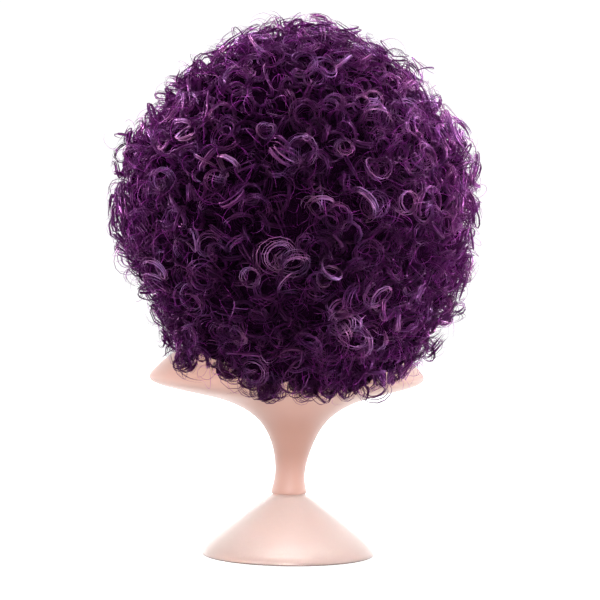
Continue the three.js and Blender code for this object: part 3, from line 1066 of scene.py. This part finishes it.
def tube_mesh(name, batches):
    """One mesh of many tubes. Each batch holds tubes, their tints and how many streaks each shows.

    The faces of a batch take the material slot of its number.
    """
    points, quads, caps, quad_maps, cap_maps = [], [], [], [], []
    offset = 0
    for tubes, tints, streaks in batches:
        count, steps = tubes.shape[:2]
        points.append(tubes.reshape(-1, 3))
        ids = offset + np.arange(count * steps * 3).reshape(count, steps, 3)
        offset += count * steps * 3
        following = np.roll(ids, -1, axis=2)
        sides = np.stack([ids[:, :-1], following[:, :-1], following[:, 1:], ids[:, 1:]], -1)
        quads.append(sides.reshape(-1, 4))
        ends = np.stack([ids[:, 0, ::-1], ids[:, -1]], 1)
        caps.append(ends.reshape(-1, 3))
        lane = STREAK_LANE * streaks[:, None]
        v = tints[:, None] + lane * np.array((0.0, 0.5, -0.5))
        v_low = np.broadcast_to(v[:, None, :], (count, steps - 1, 3))
        v_high = np.roll(v_low, -1, axis=2)
        u = np.linspace(0.02, 0.98, steps)
        u_low = np.broadcast_to(u[None, :-1, None], (count, steps - 1, 3))
        u_high = np.broadcast_to(u[None, 1:, None], (count, steps - 1, 3))
        u_all = np.stack([u_low, u_low, u_high, u_high], -1)
        v_all = np.stack([v_low, v_high, v_high, v_low], -1)
        quad_maps.append(np.stack([u_all, v_all], -1).reshape(-1, 2))
        cap_u = np.broadcast_to(np.array(((0.0, 0.0, 0.01), (1.0, 0.99, 0.99))), (count, 2, 3))
        cap_v = np.stack([v[:, ::-1], v], 1)
        cap_maps.append(np.stack([cap_u, cap_v], -1).reshape(-1, 2))
    points = np.concatenate(points)
    quads_of, caps_of = quads, caps
    quads, caps = np.concatenate(quads), np.concatenate(caps)
    mesh = bpy.data.meshes.new(name)
    mesh.vertices.add(len(points))
    mesh.vertices.foreach_set("co", points.astype(np.float32).ravel())
    corners = np.concatenate([quads.ravel(), caps.ravel()]).astype(np.int32)
    mesh.loops.add(len(corners))
    mesh.loops.foreach_set("vertex_index", corners)
    starts = np.concatenate([np.arange(len(quads)) * 4, len(quads) * 4 + np.arange(len(caps)) * 3])
    mesh.polygons.add(len(starts))
    mesh.polygons.foreach_set("loop_start", starts.astype(np.int32))
    mesh.polygons.foreach_set("use_smooth", np.ones(len(starts), bool))
    slots = []
    for faces_of in (quads_of, caps_of):
        slots += [np.full(len(faces), slot) for slot, faces in enumerate(faces_of)]
    mesh.polygons.foreach_set("material_index", np.concatenate(slots).astype(np.int32))
    layer = mesh.uv_layers.new(name=BAKE_MAP)
    layer.data.foreach_set("uv", np.concatenate(quad_maps + cap_maps).astype(np.float32).ravel())
    mesh.update(calc_edges=True)
    if mesh.validate():
        raise RuntimeError(name + " has faults in its faces")
    return mesh


def grow_curls(form, settings, row, number, corners, normals, parts, materials):
    """All the curls and fine hairs of one row, as one mesh for each side of the head."""
    rng = np.random.default_rng(settings.seed + number)
    is_open = open_faces(form, row, corners, parts)
    points, facing = scatter(rng, corners[is_open], normals[is_open], settings.curl_spacing)
    curls, kind = draw_curls(rng, form, settings, points, facing)
    if row.sides is not None:
        ringlets = draw_edge_ringlets(rng, form, row, EDGE_RINGLETS)
        curls = Curls(*(np.concatenate(both) for both in zip(curls, ringlets)))
        kind = np.concatenate([kind, np.full(EDGE_RINGLETS, END_ON)])
    amount = rng.integers(5, 7, len(kind)) + (kind == END_ON)
    amount = np.where(kind == LOOSE, rng.integers(2, 5, len(kind)), amount)
    owner = np.repeat(np.arange(len(kind)), amount)
    kind_of = kind[owner]
    loose = of_kind("loose", kind_of)
    paths, away, kept = fibre_paths(rng, form, curls, owner, CURL_STEPS, loose, 0.6 * MM, 0.35)
    broad = rng.random(len(owner)) < of_kind("broad", kind_of)
    width = np.where(broad, rng.uniform(1.0, 2.0, len(owner)), rng.uniform(0.35, 0.7, len(owner)))
    width = width * settings.fibre_width * np.where(kind_of == LOOSE, 1.3, 1.0)
    tubes = fibre_tubes(paths, away, width, np.where(broad, 0.3, 0.7) * width)
    tints = np.clip(curls.tint[owner, 0] + rng.normal(0, 0.07, len(owner)), 0.04, 0.86)
    streaks = np.where(broad, 6.0, 1.0)
    outside = parts == OUTSIDE
    fine_points, _ = scatter(rng, corners[outside], normals[outside], settings.curl_spacing * 0.84)
    frizz = draw_frizz(rng, form, fine_points)
    single = np.arange(len(fine_points))
    calm = np.full(len(single), 0.1)
    fine_paths, fine_away, fine_kept = fibre_paths(
        rng, form, frizz, single, FRIZZ_STEPS, calm, 0.2 * MM, 1.0
    )
    fine_width = 0.38 * MM * rng.uniform(0.6, 1.2, len(single))
    fine_tubes = fibre_tubes(fine_paths, fine_away, fine_width, 0.7 * fine_width)
    pieces = []
    for side, sign in (("left", 1), ("right", -1)):
        chosen = kept & (curls.start[owner, 0] * sign > 0)
        thin = fine_kept & (fine_points[:, 0] * sign > 0)
        batches = (
            (tubes[chosen], tints[chosen], streaks[chosen]),
            (fine_tubes[thin], frizz.tint[thin, 0], np.ones(thin.sum())),
        )
        name = row.name + "_curls_" + side
        pieces.append(link(name, tube_mesh(name, batches), *materials))
    return pieces


# Stage


def lay_table():
    """A white table that the camera sees as bright as the wall behind it."""
    material, shader = new_material("table white")
    tree = material.node_tree
    seen = tree.nodes.new("ShaderNodeLightPath").outputs["Is Camera Ray"]
    finish = {
        "Base Color": (0.93, 0.93, 0.93, 1.0),
        "Roughness": 0.7,
        "Emission Color": WHITE,
        "Emission Strength": add_math(tree, "MULTIPLY", seen, 0.9),
    }
    feed(tree, shader, finish)
    bm = bmesh.new()
    bmesh.ops.create_grid(bm, x_segments=1, y_segments=1, size=TABLE_HALF)
    bmesh.ops.translate(bm, verts=bm.verts, vec=(0, 0, -TABLE_DROP))
    mesh = bpy.data.meshes.new("table")
    bm.to_mesh(mesh)
    bm.free()
    link("table", mesh, material)


def light_room(scene, out):
    """A white room, brightest behind the stand, that looks evenly white to the camera."""
    world = bpy.data.worlds.new("white room")
    world.use_nodes = True
    tree = world.node_tree
    way = tree.nodes.new("ShaderNodeTexCoord").outputs["Generated"]
    behind = add_node(tree, "ShaderNodeVectorMath", {0: way, 1: -out}, operation="DOT_PRODUCT")
    wall = add_range(tree, behind.outputs["Value"], 0.0, 1.0, 0.14, 1.6)
    seen = tree.nodes.new("ShaderNodeLightPath").outputs["Is Camera Ray"]
    values = {"Factor": seen, "A": wall, "B": 1.05}
    level = add_node(tree, "ShaderNodeMix", values, data_type="FLOAT")
    values = {"Color": WHITE, "Strength": level.outputs["Result"]}
    feed(tree, tree.nodes["Background"], values)
    scene.world = world
    scene.view_settings.view_transform = "Standard"


def set_camera(scene, settings, out, right):
    """The level camera that sees the stand from behind, as the photo does."""
    data = bpy.data.cameras.new("camera")
    data.sensor_width = 36.0
    data.lens = data.sensor_width * settings.distance / VIEW_WIDTH
    camera = bpy.data.objects.new("camera", data)
    place = out * settings.distance + right * settings.aside
    camera.location = place + Vector((0, 0, settings.height))
    lean = Quaternion((0.0, 0.0, 1.0), settings.roll)
    camera.rotation_euler = ((-out).to_track_quat("-Z", "Y") @ lean).to_euler()
    scene.collection.objects.link(camera)
    scene.camera = camera


def hang_lamp(scene, lamp, out, right):
    """One lamp, which lights all the pieces or only those that it names."""
    light = bpy.data.lights.new(lamp.name, "AREA")
    light.shape = "RECTANGLE"
    light.size = lamp.width
    light.size_y = lamp.depth
    light.spread = math.radians(lamp.spread)
    light.energy = lamp.power
    holder = bpy.data.objects.new(lamp.name, light)
    holder.location = right * lamp.side + out * lamp.front + Vector((0, 0, lamp.height))
    aim = Vector((0.0, 0.0, lamp.aim)) - holder.location
    holder.rotation_euler = aim.to_track_quat("-Z", "Y").to_euler()
    scene.collection.objects.link(holder)
    if lamp.only:
        lit = bpy.data.collections.new("lit by " + lamp.name)
        for piece in scene.objects:
            if piece.name.startswith(lamp.only):
                lit.objects.link(piece)
        holder.light_linking.receiver_collection = lit
        holder.light_linking.blocker_collection = lit
        light.cycles.use_multiple_importance_sampling = False


# Operators


class WIG_OT_stand_base(bpy.types.Operator):
    """Turn the round domed base of the stand"""

    bl_idname = "wig.stand_base"
    bl_label = "Stand base"

    def execute(self, context):
        settings = context.scene.wig_stand
        radius = BASE_BOX[1].x
        top = BASE_BOX[1].z
        neck = Vector((16.2 * MM, 0.0, top))
        edge = 0.9 * MM
        rim = Vector((radius, 0.0, settings.rim_height))
        bulge = Vector((0.97 * radius, 0.0, 0.175 * top))
        turn_in = Vector((0.822 * radius, 0.0, 0.34 * top))
        swell = Vector((0.6 * MM, 0.0, 0.6 * MM))
        handles = (rim.lerp(bulge, 0.7), turn_in.lerp(bulge, 0.7))
        shoulder = interpolate_bezier(rim, *handles, turn_in, 14)
        handles = (turn_in.lerp(neck, 0.3) + swell, turn_in.lerp(neck, 0.7) + swell)
        slope = interpolate_bezier(turn_in, *handles, neck, 14)
        under = (
            Vector((0.0, 0.0, 0.0)),
            Vector((radius - edge, 0.0, 0.0)),
            Vector((radius - 0.45 * edge, 0.0, 0.3 * edge)),
            Vector((radius - 0.12 * edge, 0.0, edge)),
        )
        profile = (*under, *shoulder, *slope[1:], Vector((0.0, 0.0, top)))
        bm = bmesh.new()
        verts = [bm.verts.new(point) for point in profile]
        edges = [bm.edges.new(pair) for pair in zip(verts, verts[1:])]
        bmesh.ops.spin(
            bm,
            geom=verts + edges,
            cent=(0, 0, 0),
            axis=(0, 0, 1),
            angle=2 * math.pi,
            steps=128,
            use_merge=True,
        )
        bmesh.ops.remove_doubles(bm, verts=bm.verts, dist=0.01 * MM)
        piece = to_object(bm, "stand_base_moulding", bpy.data.materials["base plastic"])
        settle(piece, "stand", "stand_base")
        return {"FINISHED"}


class WIG_OT_stand_bust(bpy.types.Operator):
    """Loft the stem, the shoulders and the neck"""

    bl_idname = "wig.stand_bust"
    bl_label = "Stem and shoulders"

    def execute(self, context):
        loft("stand_bust", STAND_SECTIONS, 56)
        return {"FINISHED"}


class WIG_OT_stand_post(bpy.types.Operator):
    """Loft the plain post that carries the cap"""

    bl_idname = "wig.stand_post"
    bl_label = "Post"

    def execute(self, context):
        low = POST_BOX[0].z / MM
        high = POST_BOX[1].z / MM
        wide = POST_BOX[1].x / MM
        long = POST_BOX[1].y / MM
        sections = (
            Section(low, 23, 23),
            Section(low + 0.5, 23.8, 23.8),
            Section(low + 4.5, 23.8, 23.8),
            Section(low + 6, 22, 22),
            Section(low + 12, 15.5, 15.5),
            Section(low + 18, 15, 15),
            Section(high - 40, 15, 15),
            Section(high - 34, 16.5, 17),
            Section(high - 24, 25, 28),
            Section(high - 17, 0.94 * wide, 0.94 * long),
            Section(high - 13.8, wide, long),
            Section(high - 7.5, 0.68 * wide, 0.68 * long),
            Section(high - 3.2, 0.35 * wide, 0.35 * long),
            Section(high - 0.8, 4, 5),
            Section(high - 0.2, 1.2, 1.2),
        )
        loft("stand_post", sections, 32)
        return {"FINISHED"}


class WIG_OT_cap(bpy.types.Operator):
    """Shape the open net cap"""

    bl_idname = "wig.cap"
    bl_label = "Net cap"

    def execute(self, context):
        settings = context.scene.wig_cap
        form = HairForm(context.scene.wig_hair)
        bm = bmesh.new()
        bmesh.ops.create_uvsphere(bm, u_segments=96, v_segments=48, radius=1.0)
        everything = bm.verts[:] + bm.edges[:] + bm.faces[:]
        bmesh.ops.bisect_plane(
            bm,
            geom=everything,
            dist=1e-5,
            plane_co=(0, 0, 0),
            plane_no=(0, 0, 1),
            clear_inner=True,
        )
        for vert in bm.verts:
            turn = math.atan2(vert.co.y, vert.co.x)
            from_front = abs(math.degrees(math.atan2(vert.co.x, -vert.co.y)))
            drop = read_table(CAP_RIM, "from_front", "height", from_front) * MM - form.cap_centre[2]
            low = math.asin(drop / (form.cap_half[2] if drop > 0 else CAP_DROP))
            lift = math.asin(max(-1.0, min(1.0, vert.co.z)))
            lift = low + (math.pi / 2 - low) * lift / (math.pi / 2)
            rise = form.cap_half[2] if lift > 0 else CAP_DROP
            level = math.cos(lift)
            across = form.cap_half[0] * level * math.cos(turn)
            along = form.cap_half[1] * level * math.sin(turn)
            vert.co = Vector(form.cap_centre) + Vector((across, along, rise * math.sin(lift)))
        bmesh.ops.recalc_face_normals(bm, faces=bm.faces)
        bmesh.ops.solidify(bm, geom=bm.faces[:], thickness=settings.wall)
        piece = to_object(bm, "wig_cap_net", bpy.data.materials["cap net"])
        settle(piece, "cap", "wig_cap")
        return {"FINISHED"}


class WIG_OT_hair(bpy.types.Operator):
    """Grow the six rows of curls on the cap"""

    bl_idname = "wig.hair"
    bl_label = "Rows of curls"

    def execute(self, context):
        settings = context.scene.wig_hair
        form = HairForm(settings)
        dense = bpy.data.materials["hair mass"]
        fibres = (bpy.data.materials["hair fibre"], bpy.data.materials["fine hair fibre"])
        above = None
        for number, row in enumerate(HAIR_ROWS):
            mass, corners, normals, parts = main_mass(form, row, above, dense)
            settle(mass, "hair", row.name)
            for curls in grow_curls(form, settings, row, number, corners, normals, parts, fibres):
                settle(curls, "hair")
            above = row
        return {"FINISHED"}


class WIG_OT_materials(bpy.types.Operator):
    """Mix the finishes of the stand, the cap and the hair"""

    bl_idname = "wig.materials"
    bl_label = "Finishes"

    def execute(self, context):
        stand = context.scene.wig_stand
        # The bust's plastic darkens the stem's slim middle fully, as painted shade.
        bust = {"roughness": stand.roughness, "coat": 0.0, "deeper": 1.0}
        plastic_material("bust plastic", stand.plastic, stand.blush, **bust)
        # The base takes paler colours than the stem, as painted light.
        base = {"roughness": 0.36, "coat": 0.8, "deeper": 0.0}
        plastic_material("base plastic", stand.lit_base_plastic, stand.lit_base_blush, **base)
        net_material(context.scene.wig_cap)
        mass_material()
        fibre_material("hair fibre", clearness=0.19)
        fibre_material("fine hair fibre", clearness=0.5)
        return {"FINISHED"}


class WIG_OT_stage(bpy.types.Operator):
    """Set the table, the light and the camera"""

    bl_idname = "wig.stage"
    bl_label = "Stage"

    def execute(self, context):
        scene = context.scene
        settings = scene.wig_stage
        out = Vector((-math.sin(settings.turn), math.cos(settings.turn), 0.0))
        right = Vector((-math.cos(settings.turn), -math.sin(settings.turn), 0.0))
        lay_table()
        light_room(scene, out)
        set_camera(scene, settings, out, right)
        for lamp in LAMPS:
            hang_lamp(scene, lamp, out, right)
        return {"FINISHED"}


class WIG_PT_sidebar(bpy.types.Panel):
    """Shows the settings of the wig and its stand, and the buttons that make its pieces"""

    bl_idname = "WIG_PT_sidebar"
    bl_label = "Curly wig"
    bl_space_type = "VIEW_3D"
    bl_region_type = "UI"
    bl_category = "Wig"

    def draw(self, context):
        for group in ("wig_stand", "wig_cap", "wig_hair", "wig_stage"):
            settings = getattr(context.scene, group)
            box = self.layout.box()
            for name in settings.bl_rna.properties.keys():
                if name not in ("rna_type", "name"):
                    box.prop(settings, name)
        for maker in MAKERS:
            self.layout.operator(maker.bl_idname)


SETTINGS = (
    ("wig_stand", StandSettings),
    ("wig_cap", CapSettings),
    ("wig_hair", HairSettings),
    ("wig_stage", StageSettings),
)
MAKERS = (
    WIG_OT_materials,
    WIG_OT_stand_base,
    WIG_OT_stand_bust,
    WIG_OT_stand_post,
    WIG_OT_cap,
    WIG_OT_hair,
    WIG_OT_stage,
)


def register():
    for name, group in SETTINGS:
        bpy.utils.register_class(group)
        setattr(bpy.types.Scene, name, bpy.props.PointerProperty(type=group))
    for maker in (*MAKERS, WIG_PT_sidebar):
        bpy.utils.register_class(maker)


def unregister():
    for maker in reversed((*MAKERS, WIG_PT_sidebar)):
        bpy.utils.unregister_class(maker)
    for name, group in reversed(SETTINGS):
        delattr(bpy.types.Scene, name)
        bpy.utils.unregister_class(group)


def main():
    register()
    bpy.ops.wig.materials()
    bpy.ops.wig.stand_base()
    bpy.ops.wig.stand_bust()
    bpy.ops.wig.stand_post()
    bpy.ops.wig.cap()
    bpy.ops.wig.hair()
    bpy.ops.wig.stage()


if __name__ == "__main__":
    main()
